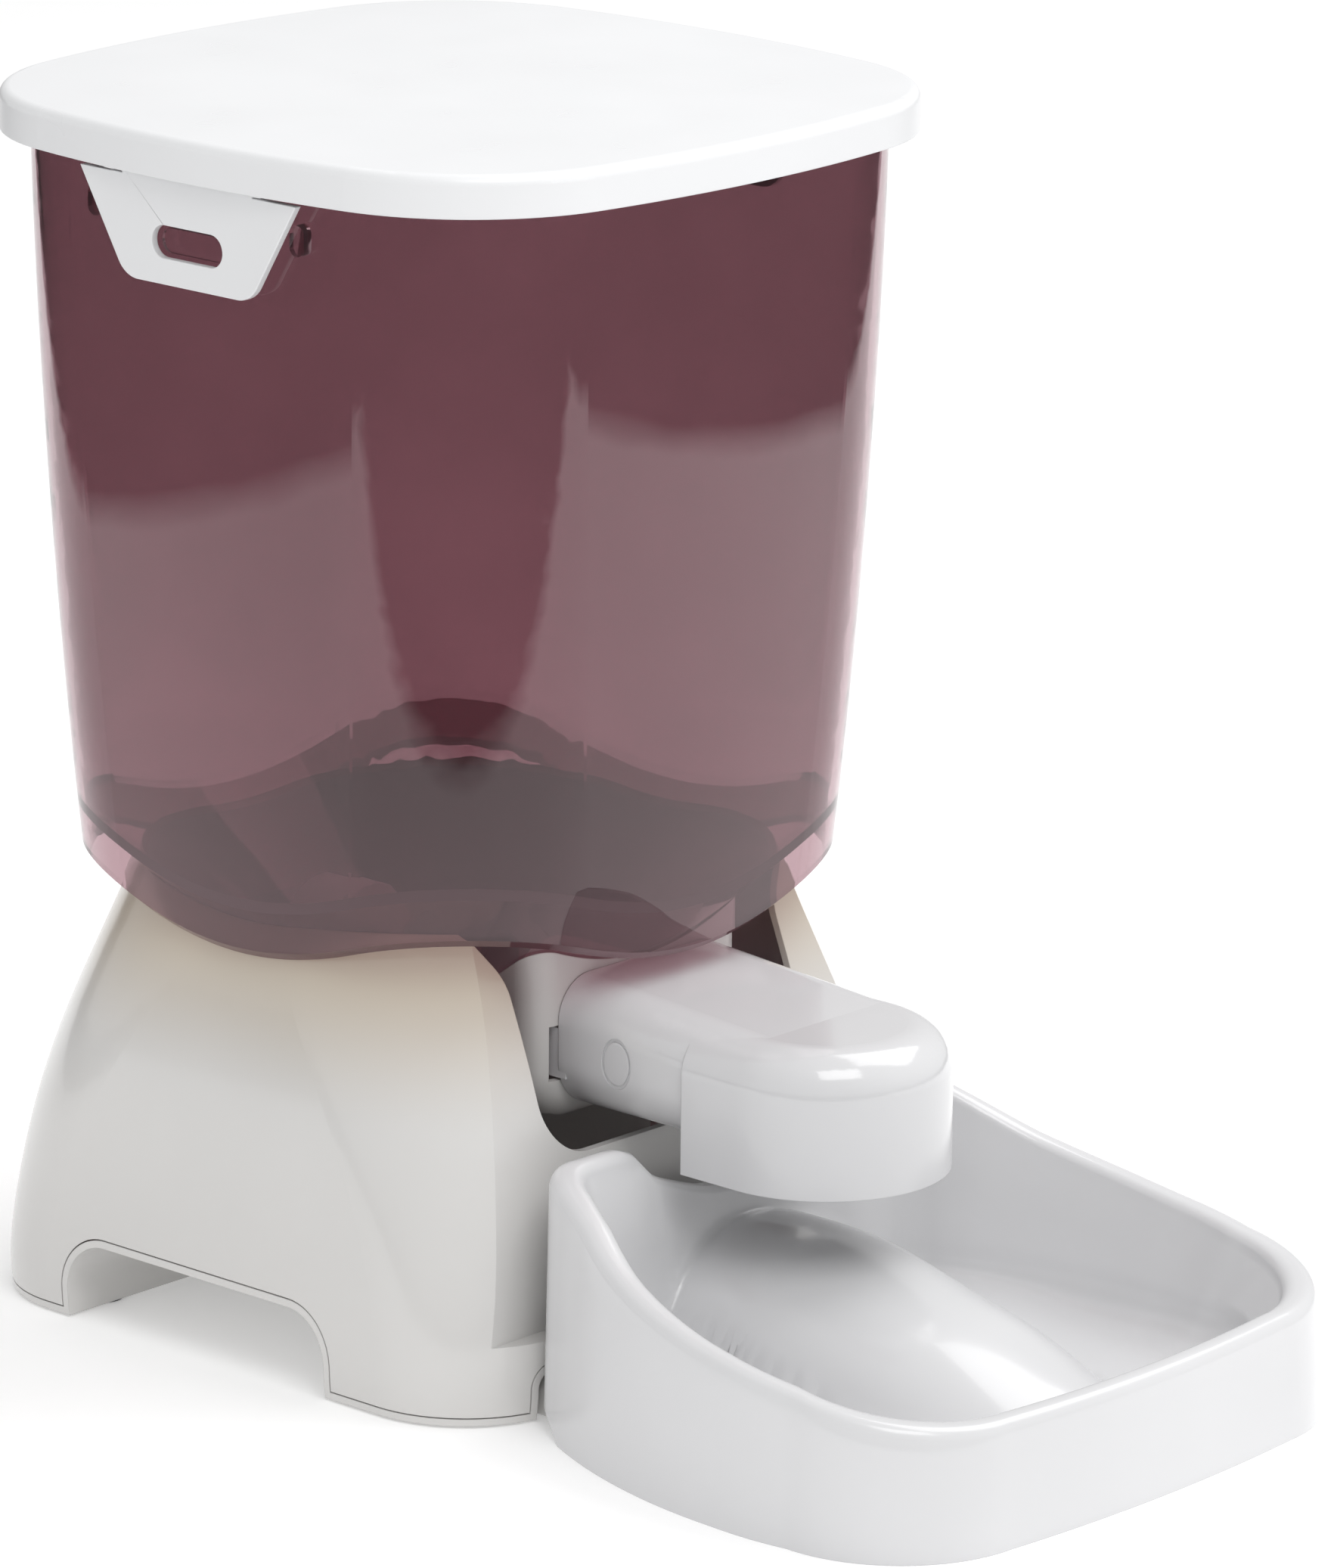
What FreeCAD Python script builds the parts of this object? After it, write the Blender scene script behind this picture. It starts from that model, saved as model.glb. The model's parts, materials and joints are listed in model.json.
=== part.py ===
"""Automatic pet feeder: a kibble hopper on a mechanism base, with a feed screw, chute and bowl.

Millimetres, +Z up, front towards -Y. Sub-parts are drawn about the hopper's vertical axis and
moved back by HOPPER_Y on writing, so the origin is the middle of the footprint at floor level.
"""
import FreeCAD, Part
import math
import os

V = FreeCAD.Vector

# Overall layout
HOPPER_Y = 78.85           # hopper axis behind the middle of the footprint
FAR = 400.0                # larger than anything on the feeder
FIT = 0.3                  # gap between parts that are put together by hand

# Lid
LID_HALF = 116.0
LID_SIDE_R = 400.0
LID_CORNER_R = 60.0
LID_TOP = 365.8
LID_BOTTOM = 353.5
LID_EDGE_R = 3.0
LID_WALL = 2.2
LID_ROOF = 2.5
PLUG_HALF = 104.4          # ring under the lid that enters the hopper
PLUG_CORNER_R = 52.0
PLUG_T = 2.0
SEAL_Z = 356.0             # bottom of the seal's groove in that ring
SEAL_ROOM = 3.0
SEAL_DEPTH = 0.9
SEAL_T = 1.5

# Hopper
HOPPER_SIDE_R = 400.0
HOPPER_CORNER_R = 55.0
# height and half width of the hopper's outside
HOPPER_SECTIONS = ((60.0, 89.0), (126.0, 96.0), (180.0, 100.3), (235.0, 103.6), (290.0, 106.1),
                   (363.0, 107.8))
HOPPER_WALL = 2.4
HOPPER_TOP = 363.0
CONE_SLOPE = 0.9           # rise of the hopper's lower edge per millimetre of radius
CONE_R = 97.0
EDGE_Z = 126.5             # height of the lower edge at radius CONE_R
SADDLE_DROP = 3.6           # the saddle's underside is this far below the funnel's
FUNNEL_LIFT = 13.0         # the funnel joins the wall this far above its lower edge
THROAT_R = 42.0
THROAT_BOTTOM = 80.0

# Base
BASE_SECTIONS = ((0.0, 104.4, 36.0), (8.0, 105.4, 37.0), (30.0, 104.6, 39.0), (60.0, 102.3, 47.0),
                 (85.0, 99.5, 58.0), (105.0, 96.3, 68.0), (125.0, 91.8, 74.0), (150.0, 84.0, 77.0))
BASE_WALL = 2.6
TRAY_T = 2.2
TRAY_BOTTOM = 0.8
SEAM = 0.4
ARCH_BACK = 59.0
ARCH_FRONT = -47.0
ARCH_TOP = 25.0
ARCH_R = 15.0
NOTCH_HALF = 76.0
NOTCH_TOP = 15.0
NOTCH_R = 5.0
LEDGE_Z = 24.0
DOCK_FRONT = -119.0
PANEL_PROFILE = ((-98.0, 24.0), (-94.6, 55.0), (-87.6, 84.0), (-77.6, 112.0), (-63.5, 145.0))
U_HALF = 57.5
U_BOTTOM = 71.0
U_R = 17.0
U_BEND_Z = 122.0
U_BEND_R = 16.0
U_FLARE = 17.0
U_FLARE_TALL = 23.0

# Feed mechanism
SCREW_Z = 98.0
SCREW_R = 16.0
SCREW_PITCH = 32.0
SCREW_SHAFT_R = 4.0
SCREW_START = -76.0
SCREW_END = 55.8
BLADE_START = -73.0
BLADE_LEN = 106.0
BLADE_T = 2.2
BLADE_STEPS = 24            # straight pieces that make up one turn of the blade
BARREL_IN = 17.3
BARREL_OUT = 19.5
BARREL_BACK = 18.7          # outside of the barrel behind the throat
COLLAR_Y = -74.0
COLLAR_HALF = 45.0
COLLAR_BOTTOM = 73.0
COLLAR_R = 17.0
COLLAR_WALL = 2.4
CUP_IN = THROAT_R + 0.6
CUP_OUT = CUP_IN + 2.4
CUP_FLOOR = 78.5
PLATE_HALF = (70.0, 43.0)   # the housing's mounting plate
SADDLE_HALF = 27.0
# guide on the cup's floor that leads kibble into the screw, as x and z
GUIDE = ((-38.8, 79.0), (38.8, 79.0), (38.8, 88.5), (16.0, 84.5), (-16.0, 84.5), (-38.8, 88.5), (-38.8, 79.0))
CASE_HALF = 24.0            # gear case behind the cup
CASE_WALL = 2.4
CASE_DROP = 16.0            # the case reaches this far below the pinion's axis
CASE_FRONT = 42.6
CASE_PLATE = 45.6
SCREW_GEAR_ROOM = 16.4
BUSH_R = 6.0
IDLER_PIN_R = 2.0
MOTOR_SHAFT_R = 1.5
TAB_Z = (88.0, 103.0)       # the chute's snap tabs in the collar's slots
TAB_X = (33.7, 35.7)
TAB_IN = 4.5                # how far the tabs reach behind the collar's face

# Gear train, all in one plane behind the cup
GEAR_MODULE = 1.0
SCREW_TEETH = 28
IDLER_TEETH = 30
PINION_TEETH = 12
GEAR_BACKLASH = 0.28
GEAR_Y0 = 46.8
GEAR_W = 6.0
IDLER_Z = SCREW_Z - GEAR_MODULE * (SCREW_TEETH + IDLER_TEETH) / 2
PINION_Z = IDLER_Z - GEAR_MODULE * (IDLER_TEETH + PINION_TEETH) / 2
COVER_Y0 = 54.0
COVER_T = 2.4
MOTOR_R = 12.2
MOTOR_LEN = 26.0

# Chute
CHUTE_HALF = 36.0
CHUTE_BOTTOM = 78.0
CHUTE_TOP_BACK = 117.6
CHUTE_TOP_FRONT = 112.5
CHUTE_LOW_R = 15.0
CHUTE_HIGH_R = 13.0
CHUTE_WALL = 2.4
MARK_R = 5.6                # oval thumb mark on the chute's sides
MARK_WIDTH = 0.8
MARK_DEPTH = 0.6
MARK_AT = (-97.0, 97.0)
HOOD_HALF = 37.3
HOOD_BACK = -123.5
HOOD_CENTRE = -145.0
HOOD_BOTTOM = 70.0
HOOD_EDGE_R = 13.0

# Bowl
BOWL_TAPER = 5.0           # how far the wall leans in over BOWL_TALL
BOWL_TALL = 90.0
BOWL_RIM = 8.0
BOWL_BACK_LOW = -107.0
BOWL_BACK_HIGH = -100.5
BOWL_FLOOR = 10.0
BOWL_HOLLOW = 30.0          # the wall is hollow from below up to here
BOWL_SKIN = 2.8             # thickness of the dish
DISH_BACK = 16.5            # from the bowl's back to the dish, at the floor
RIDGE_HALF = 40.0
RIDGE_TALL = 33.0           # from the middle of the ridge's oval section to its top
RIDGE_TOPS = ((-98.0, 47.0), (-125.0, 48.5), (-150.0, 47.2), (-180.0, 40.2), (-205.0, 34.0), (-230.0, 23.0),
              (-256.0, 8.0))
BOWL_SIDE = ((-90.0, 84.0), (-100.0, 80.5), (-115.0, 74.0), (-130.0, 66.5), (-150.0, 58.5),
             (-185.0, 50.5), (-225.0, 44.5), (-250.0, 40.5), (-285.0, 35.0))
BOWL_BACK = ((0.0, 57.0), (12.0, 58.5), (24.0, 62.5), (36.0, 68.0), (45.0, 76.5), (55.0, 81.0),
             (66.0, 78.5), (80.0, 72.5), (100.0, 66.0))

# Latches
LATCH_OUT = 112.0
LATCH_T = 2.4
LATCH_PIN = (110.3, 355.0)
LATCH_PIN_R = 1.05
LATCH_KNUCKLE_R = 2.2
LATCH_KNUCKLE_HALF = 26.0
LATCH_EAR_X = (108.4, 114.6)
LATCH_EAR_T = 4.0
LATCH_TOP_HALF = 43.0
LATCH_LOW_HALF = 25.0
LATCH_TOP = 352.0
LATCH_LOW = 322.0
LATCH_R = 9.0
SLOT_HALF = 14.0
SLOT_Z = 334.4
SLOT_R = 4.75
CATCH_WALL = 105.6         # the catches start inside the hopper's wall
# each catch: y from and to, z from and to, and how much it stays back from the flap
CATCHES = ((-12.5, 12.5, 330.8, 338.0, 0.0), (37.6, 43.0, 337.0, 346.0, 0.4),
           (-43.0, -37.6, 337.0, 346.0, 0.4))

# Batteries (size C), controls and fixings
CELL_R = 13.1
CELL_LEN = 50.0
CELL_Y = (-11.4, 15.8)
BOX_X = 53.0
BOX_Y = (-26.5, 30.9)
BOX_Z0 = 27.6
PANEL_HALF = 36.0
PANEL_Z = (58.0, 96.0)
PANEL_Y = 97.5
BEZEL_LEGS = ((-36.0, 60.5), (-36.0, 88.0), (36.0, 60.5), (36.0, 88.0))
BUTTON_R = 4.2
BUTTON_X = (-27.0, 27.0)
BUTTON_Z = (69.0, 85.0)
SCREW_HEAD_R = 2.8
SCREW_SHANK_R = 1.5
POSTS = ((-62.0, -36.0), (62.0, -36.0), (-62.0, 36.0), (62.0, 36.0))
CORNERS = ((-76.0, -76.0), (76.0, -76.0), (-76.0, 80.0), (76.0, 80.0))


# ---------------------------------------------------------------- helpers

def box(x0, x1, y0, y1, z0, z1):
    return Part.makeBox(x1 - x0, y1 - y0, z1 - z0, V(x0, y0, z0))


def rod_y(x, z, radius, y0, y1):
    return Part.makeCylinder(radius, y1 - y0, V(x, y0, z), V(0, 1, 0))


def rod_z(x, y, radius, z0, z1):
    return Part.makeCylinder(radius, z1 - z0, V(x, y, z0))


def rod_x(y, z, radius, x0, x1):
    return Part.makeCylinder(radius, x1 - x0, V(x0, y, z), V(1, 0, 0))


def arc(a, middle, b):
    return Part.Arc(a, middle, b).toShape()


def line(a, b):
    return Part.LineSegment(a, b).toShape()


def join(shapes):
    result = shapes[0]
    if len(shapes) > 1:
        result = result.multiFuse(shapes[1:])
    return result.removeSplitter()


def both_sides(shape):
    """The shape and its mirror image across the feeder's middle plane."""
    return [shape, shape.mirror(V(0, 0, 0), V(1, 0, 0))]


def on_plane(plane, a, b, offset):
    """A point from two drawing coordinates on the named plane at an offset along its normal."""
    return {"xy": V(a, b, offset), "xz": V(a, offset, b), "yz": V(offset, a, b)}[plane]


def rounded_rectangle(plane, a0, a1, b0, b1, offset, low_r, high_r):
    """Closed wire of a rectangle whose two lower and two upper corners have their own radii."""
    diagonal = 1.0 - math.sqrt(0.5)
    corners = ((a1, b0, low_r, -1, 1), (a1, b1, high_r, -1, -1),
               (a0, b1, high_r, 1, -1), (a0, b0, low_r, 1, 1))
    edges = []
    ends = []
    for index, (a, b, r, da, db) in enumerate(corners):
        start = (a + da * r, b) if index % 2 == 0 else (a, b + db * r)
        end = (a, b + db * r) if index % 2 == 0 else (a + da * r, b)
        middle = (a + da * r * diagonal, b + db * r * diagonal)
        ends.append((start, middle, end))
    for index, (start, middle, end) in enumerate(ends):
        points = [on_plane(plane, p[0], p[1], offset) for p in (start, middle, end)]
        edges.append(arc(*points))
        following = ends[(index + 1) % 4][0]
        if math.dist(end, following) > 1e-6:
            edges.append(line(points[2], on_plane(plane, following[0], following[1], offset)))
    return Part.Wire(edges)


def turned(point, angle, z):
    """A plan point turned about the hopper axis, at height z."""
    x, y = point
    return V(x * math.cos(angle) - y * math.sin(angle), x * math.sin(angle) + y * math.cos(angle), z)


def pillow(half, side_r, corner_r, z):
    """Closed wire of a square with bulged sides and tangent round corners."""
    reach = side_r - corner_r
    # corner circle centre (c, c), with its circle tangent inside the side circles
    offset = side_r - half
    c = (-offset + math.sqrt(max(2 * reach ** 2 - offset ** 2, 0.0))) / 2
    scale = side_r / reach
    tangent = ((c + offset) * scale - offset, c * scale)
    corner = c + corner_r * math.sqrt(0.5)
    edges = []
    for quarter in range(4):
        turn = math.radians(90 * quarter)
        flat = ((tangent[0], -tangent[1]), (half, 0), tangent)
        rounded = (tangent, (corner, corner), (tangent[1], tangent[0]))
        edges += [arc(*[turned(p, turn, z) for p in points]) for points in (flat, rounded)]
    return Part.Wire(edges)


def extrude(wire, vector):
    return Part.Face(wire).extrude(vector)


def above_cone(lift):
    """Everything above the cone that runs `lift` over the hopper's lower edge."""
    apex = EDGE_Z + lift - CONE_SLOPE * CONE_R
    height = 500.0
    return Part.makeCone(0, height / CONE_SLOPE, height, V(0, 0, apex))


def spline_region(points, plane, closing, offset, depth):
    """Prism of the area between a smooth curve and straight closing points."""
    curve = Part.BSplineCurve()
    curve.interpolate([on_plane(plane, a, b, offset) for a, b in points])
    corners = [on_plane(plane, *points[-1], offset)]
    corners += [on_plane(plane, a, b, offset) for a, b in closing]
    corners.append(on_plane(plane, *points[0], offset))
    wire = Part.Wire([curve.toShape(), Part.makePolygon(corners)])
    return Part.Face(Part.Wire(Part.__sortEdges__(wire.Edges))).extrude(depth)


def bored(shape, tools):
    return shape.cut(Part.makeCompound(tools))


def write(name, shape):
    moved = shape.copy()
    moved.translate(V(0, HOPPER_Y, 0))
    moved.exportStep("parts/" + name + ".step")
    line_format = "%-22s solids %d valid %s volume %.1f"
    print(line_format % (name, len(shape.Solids), shape.isValid(), shape.Volume / 1000.0))


# ---------------------------------------------------------------- lid and latches

def plug_outline(grown, corner_grown, z, tall):
    """Prism over the outline of the lid's inner ring, grown by the given amounts."""
    return extrude(pillow(PLUG_HALF + grown, HOPPER_SIDE_R, PLUG_CORNER_R + corner_grown, z), V(0, 0, tall))


def lid_solid():
    body = extrude(pillow(LID_HALF, LID_SIDE_R, LID_CORNER_R, LID_BOTTOM), V(0, 0, LID_TOP - LID_BOTTOM))
    rim = [edge for edge in body.Edges if all(abs(v.Z - LID_TOP) < 1e-6 for v in edge.Vertexes)]
    body = body.makeFillet(LID_EDGE_R, rim)
    inset = LID_WALL
    cavity = extrude(pillow(LID_HALF - inset, LID_SIDE_R - inset, LID_CORNER_R - inset, LID_BOTTOM - 1),
                     V(0, 0, LID_TOP - LID_ROOF - LID_BOTTOM + 1))
    body = body.cut(cavity)
    plug = plug_outline(0.0, 0.0, LID_BOTTOM - 1.5, LID_TOP - LID_BOTTOM)
    plug = plug.cut(plug_outline(-PLUG_T, -PLUG_T, 0.0, FAR))
    around = plug_outline(2.0, 2.0, SEAL_Z, SEAL_ROOM)
    core = plug_outline(-SEAL_DEPTH, -1.0, SEAL_Z, SEAL_ROOM)
    plug = plug.cut(around.cut(core)).common(box(-FAR, FAR, -FAR, FAR, 0, LID_TOP - 1))
    return join([body, plug] + [ear for side in (-1, 1) for ear in latch_ears(side)])


def latch_ears(side):
    """The two lugs under the lid that hold one latch pin."""
    pin_x, pin_z = LATCH_PIN
    ears = []
    near = LATCH_KNUCKLE_HALF + 1.0
    x = sorted(side * reach for reach in LATCH_EAR_X)
    for y0 in (near, -near - LATCH_EAR_T):
        ear = box(x[0], x[1], y0, y0 + LATCH_EAR_T, pin_z - 1.9, LID_TOP - 1.5)
        ears.append(ear.cut(rod_y(side * pin_x, pin_z, LATCH_PIN_R, y0 - 1, y0 + 5)))
    inner = extrude(pillow(LID_HALF - 0.8, LID_SIDE_R, LID_CORNER_R, 0), V(0, 0, FAR))
    return [ear.common(inner) for ear in ears]


def lid_seal():
    ring = plug_outline(SEAL_T - SEAL_DEPTH, 0.3, SEAL_Z + 0.2, SEAL_ROOM - 0.4)
    return ring.cut(plug_outline(-SEAL_DEPTH, -1.0, 0.0, FAR))


def latch(side):
    """A trapezium flap hung from the lid, with an obround slot that shows the hopper's catch."""
    outer = side * LATCH_OUT
    depth = V(-side * LATCH_T, 0, 0)
    corners = [(LATCH_TOP_HALF, LATCH_TOP), (LATCH_LOW_HALF, LATCH_LOW),
               (-LATCH_LOW_HALF, LATCH_LOW), (-LATCH_TOP_HALF, LATCH_TOP)]
    plate = Part.Face(Part.makePolygon([V(outer, a, b) for a, b in corners + corners[:1]])).extrude(depth)
    low = [e for e in plate.Edges if all(abs(v.Z - LATCH_LOW) < 1e-6 for v in e.Vertexes)
           and abs(e.Vertexes[0].Y - e.Vertexes[-1].Y) < 1e-6]
    plate = plate.makeFillet(LATCH_R, low)
    pin_x, pin_z = LATCH_PIN
    knuckle = rod_y(side * pin_x, pin_z, LATCH_KNUCKLE_R, -LATCH_KNUCKLE_HALF, LATCH_KNUCKLE_HALF)
    neck_x = sorted((outer, outer - side * LATCH_T))
    neck = box(neck_x[0], neck_x[1], -LATCH_KNUCKLE_HALF, LATCH_KNUCKLE_HALF, LATCH_TOP - 1, pin_z)
    slot = rounded_rectangle("yz", -SLOT_HALF, SLOT_HALF, SLOT_Z - SLOT_R, SLOT_Z + SLOT_R,
                             outer + side, SLOT_R - 0.01, SLOT_R - 0.01)
    flap = join([plate, neck, knuckle])
    flap = flap.cut(extrude(slot, V(-side * 6, 0, 0)))
    return flap.cut(rod_y(side * pin_x, pin_z, LATCH_PIN_R + 0.08, -50, 50))


def latch_pins():
    reach = LATCH_KNUCKLE_HALF + 5.0
    return Part.makeCompound([rod_y(side * LATCH_PIN[0], LATCH_PIN[1], LATCH_PIN_R, -reach, reach)
                              for side in (-1, 1)])


# ---------------------------------------------------------------- hopper

def hopper_walls(inset):
    wires = [pillow(half - inset, HOPPER_SIDE_R - inset, HOPPER_CORNER_R - inset, z)
             for z, half in HOPPER_SECTIONS]
    return Part.makeLoft(wires, True, False)


def throat_notch(half, y0, y1):
    """Upside-down U through the funnel, which lets the hopper lift off over the feed barrel."""
    return rod_y(0, SCREW_Z, half, y0, y1).fuse(box(-half, half, y0, y1, 60, SCREW_Z))


def catches(side):
    """Boss that shows through the latch slot, and a lug at each side of the latch."""
    reach = LATCH_OUT - LATCH_T - FIT
    blocks = []
    for y0, y1, z0, z1, short in CATCHES:
        radius = min(y1 - y0, z1 - z0) / 2 - 0.1
        wire = rounded_rectangle("yz", y0, y1, z0, z1, side * CATCH_WALL, radius, radius)
        blocks.append(extrude(wire, V(side * (reach - CATCH_WALL - short), 0, 0)))
    return blocks


def hopper():
    outer = hopper_walls(0.0)
    inner = hopper_walls(HOPPER_WALL)
    funnel_outer = above_cone(FUNNEL_LIFT)
    funnel_inner = above_cone(FUNNEL_LIFT + HOPPER_WALL * math.sqrt(1 + CONE_SLOPE ** 2))
    body = outer.common(above_cone(0.0))
    body = body.cut(inner.common(funnel_inner))
    body = body.cut(inner.cut(funnel_outer))
    throat_top = EDGE_Z + FUNNEL_LIFT + CONE_SLOPE * (THROAT_R - CONE_R)
    body = body.cut(rod_z(0, 0, THROAT_R - HOPPER_WALL, 0, throat_top + 6))
    body = body.cut(box(-FAR, FAR, -FAR, FAR, 0, throat_top - 0.2))
    ring = rod_z(0, 0, THROAT_R, THROAT_BOTTOM, throat_top + 0.5)
    ring = ring.cut(rod_z(0, 0, THROAT_R - HOPPER_WALL, 0, FAR))
    grown = [part for side in (-1, 1) for part in catches(side)]
    body = join([body, ring] + grown)
    body = body.cut(hopper_walls(HOPPER_WALL - 0.01).common(box(-FAR, FAR, -FAR, FAR, 300, FAR)))
    notch = throat_notch(BARREL_OUT + 1.0, COLLAR_Y - 1.5, -20)
    back_notch = throat_notch(BARREL_OUT + 1.0, 20, COVER_Y0 + COVER_T + 1.5)
    return bored(body, [notch, back_notch])


# ---------------------------------------------------------------- base shell and tray

def base_body(inset):
    wires = [rounded_rectangle("xy", -half + inset, half - inset, -half + inset, half - inset, z,
                               corner - inset, corner - inset) for z, half, corner in BASE_SECTIONS]
    return Part.makeLoft(wires, True, False)


def panel_recess(depth):
    """The scoop out of the base's front, above a ledge, moved in by the wall depth."""
    points = [(y + depth, z - (depth if z == LEDGE_Z else 0)) for y, z in PANEL_PROFILE]
    closing = ((-160.0, points[-1][1]), (-160.0, points[0][1]))
    return spline_region(points, "yz", closing, -150.0, V(300, 0, 0))


def underside(off):
    """Everything beneath the feeder's lower surface once it is raised by `off`."""
    slab = box(-FAR, FAR, -FAR, FAR, -20, TRAY_BOTTOM + off)
    arch = rounded_rectangle("yz", ARCH_FRONT - off, ARCH_BACK + off, -20, ARCH_TOP + off, -FAR,
                             0.5, ARCH_R + off)
    notch = rounded_rectangle("xz", -NOTCH_HALF - off, NOTCH_HALF + off, -20, NOTCH_TOP + off, -FAR,
                              0.5, NOTCH_R + off)
    return slab.multiFuse([extrude(arch, V(2 * FAR, 0, 0)), extrude(notch, V(0, FAR - 92.0, 0))])


def u_opening():
    """Front opening that shows the collar: a U whose upper corners flare outwards."""
    right = [(U_HALF, U_BOTTOM), (U_HALF, U_BEND_Z), (U_HALF + U_FLARE, U_BEND_Z + U_FLARE_TALL)]
    left = [(-x, z) for x, z in right[::-1]]
    outline = Part.makePolygon([V(x, -FAR, z) for x, z in right + left + right[:1]])
    solid = Part.Face(outline).extrude(V(0, FAR - 55.0, 0))
    for z, radius in ((U_BOTTOM, U_R), (U_BEND_Z, U_BEND_R)):
        edges = [e for e in solid.Edges if e.BoundBox.XLength < 1e-6
                 and abs(e.BoundBox.ZMin - z) < 1e-6 and abs(e.BoundBox.ZMax - z) < 1e-6]
        solid = solid.makeFillet(radius, edges)
    return solid


def panel_hole():
    z0, z1 = PANEL_Z
    wire = rounded_rectangle("xz", -PANEL_HALF, PANEL_HALF, z0, z1, 85.0, 5.0, 5.0)
    return extrude(wire, V(0, 40, 0))


def base_shell():
    outer = base_body(0.0).cut(panel_recess(0.0))
    inner = base_body(BASE_WALL).cut(panel_recess(BASE_WALL))
    z0, z1 = PANEL_Z
    frame = box(-PANEL_HALF - 3, PANEL_HALF + 3, PANEL_Y - 3.0, FAR, z0 - 3, z1 + 3).common(outer)
    bosses = []
    for x, y in CORNERS:
        boss = rod_z(x, y, 4.5, TRAY_BOTTOM, 34.0)
        outwards = V(math.copysign(22, x), math.copysign(22, y), 0)
        rib = box(x - 1.2, x + 1.2, min(y, y + outwards.y), max(y, y + outwards.y), 4.0, 32.0)
        bosses += [boss, rib.common(outer)]
    shell = join([outer.cut(inner), frame] + bosses)
    shell = shell.cut(above_cone(FUNNEL_LIFT - FIT))
    tools = [underside(TRAY_T + SEAM), u_opening(), panel_hole()]
    tools += [rod_z(x, y, SCREW_SHANK_R - 0.1, 0, 26.0) for x, y in CORNERS]
    return bored(shell, tools)


def base_tray():
    body = base_body(0.0).common(underside(TRAY_T)).cut(underside(0.0))
    extras = []
    for x, y in POSTS:
        extras.append(rod_z(x, y, 4.6, ARCH_TOP + 1, 76.0))
    for x, y in CORNERS:
        extras.append(rod_z(x, y, 6.0, TRAY_BOTTOM + 1.2, TRAY_BOTTOM + TRAY_T + 0.1))
    for y0, lip in ((BOX_Y[0] - 6.0, 1), (BOX_Y[1] + 4.0, -1)):
        rail = box(-56.0, 56.0, y0, y0 + 2.0, 21.0, ARCH_TOP + 1)
        lip_y = sorted((y0 + 1.0, y0 + 1.0 + lip * 3.0))
        extras += [rail, box(-56.0, 56.0, lip_y[0], lip_y[1], 21.0, 22.3)]
    extras.append(dock())
    tray = join([body] + extras)
    tools = [box(-BOX_X + 2, BOX_X - 2, BOX_Y[0] + 2, BOX_Y[1] - 2, 20, 30)]
    tools += [rod_z(x, y, SCREW_SHANK_R - 0.1, 60, 80) for x, y in POSTS]
    for x, y in CORNERS:
        tools += [rod_z(x, y, SCREW_SHANK_R + 0.2, -1, 10), rod_z(x, y, SCREW_HEAD_R + 0.3, -1, 1.9)]
    tools += [foot_pocket(x, y) for x, y in foot_places()]
    return bored(tray, tools)


def dock():
    """Tongue under the bowl: it ties the bowl's place to the base."""
    half = NOTCH_HALF - 3.0
    top = NOTCH_TOP - 2.5
    wire = rounded_rectangle("xz", -half, half, TRAY_BOTTOM, top, DOCK_FRONT, 1.0, 4.0)
    solid = extrude(wire, V(0, -90.0 - DOCK_FRONT, 0))
    front = [e for e in solid.Edges if e.BoundBox.YMax < DOCK_FRONT + 0.1 and e.BoundBox.ZMax > top - 0.5]
    solid = solid.makeFillet(3.0, front)
    hollow = box(-half + 2.4, half - 2.4, DOCK_FRONT + 2.4, -80.0, -1, top - 2.3)
    return solid.cut(hollow)


def foot_places():
    return ((-84.0, 66.0), (84.0, 66.0), (-84.0, -58.0), (84.0, -58.0))


def foot_pocket(x, y):
    return rod_z(x, y, 6.2, 0, TRAY_BOTTOM + 0.8)


def rubber_feet():
    return Part.makeCompound([rod_z(x, y, 6.0, 0, TRAY_BOTTOM + 0.7) for x, y in foot_places()])


# ---------------------------------------------------------------- feed housing and screw

def collar(inset):
    """Front box of the feed housing, with rounded lower and front edges."""
    wire = rounded_rectangle("xz", -COLLAR_HALF + inset, COLLAR_HALF - inset, COLLAR_BOTTOM + inset, 150.0,
                             COLLAR_Y + inset, COLLAR_R - inset, 1.0)
    solid = extrude(wire, V(0, 44.0 - inset, 0))
    face_y = COLLAR_Y + inset
    front = [e for e in solid.Edges if e.BoundBox.YMax < face_y + 0.01 and e.BoundBox.ZMax < 149.5]
    return solid.makeFillet(9.0 - inset, front)


def saddle(y0, y1):
    """Curved plate just under the funnel that closes its notch around the barrel."""
    shell = above_cone(FUNNEL_LIFT - SADDLE_DROP).cut(above_cone(FUNNEL_LIFT - 2 * FIT))
    piece = shell.common(box(-SADDLE_HALF, SADDLE_HALF, y0, y1, THROAT_BOTTOM, 130))
    return piece.cut(rod_z(0, 0, CUP_IN, 0, FAR))


def kibble_guide():
    """Sloped floor inside the throat, which leads kibble to the screw."""
    profile = Part.Face(Part.makePolygon([V(x, -45, z) for x, z in GUIDE]))
    return profile.extrude(V(0, 90, 0)).common(rod_z(0, 0, THROAT_R - HOPPER_WALL - 0.8, GUIDE[0][1], FAR))


def gear_case():
    """Plate, side walls and rounded top around the gears, open at the back for the cover."""
    low = PINION_Z - CASE_DROP
    under_funnel = above_cone(FUNNEL_LIFT - SADDLE_DROP)
    plate = box(-CASE_HALF, CASE_HALF, CASE_FRONT, CASE_PLATE, low, SCREW_Z).cut(under_funnel)
    walls = box(-CASE_HALF, CASE_HALF, CASE_PLATE, COVER_Y0 - 0.2, low, SCREW_Z)
    inside = CASE_HALF - CASE_WALL
    walls = walls.cut(box(-inside, inside, 40, 60, low + CASE_WALL, SCREW_Z + 1)).cut(under_funnel)
    return [plate, rod_y(0, SCREW_Z, BARREL_BACK, 38, COVER_Y0 - 0.2), walls]


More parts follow.
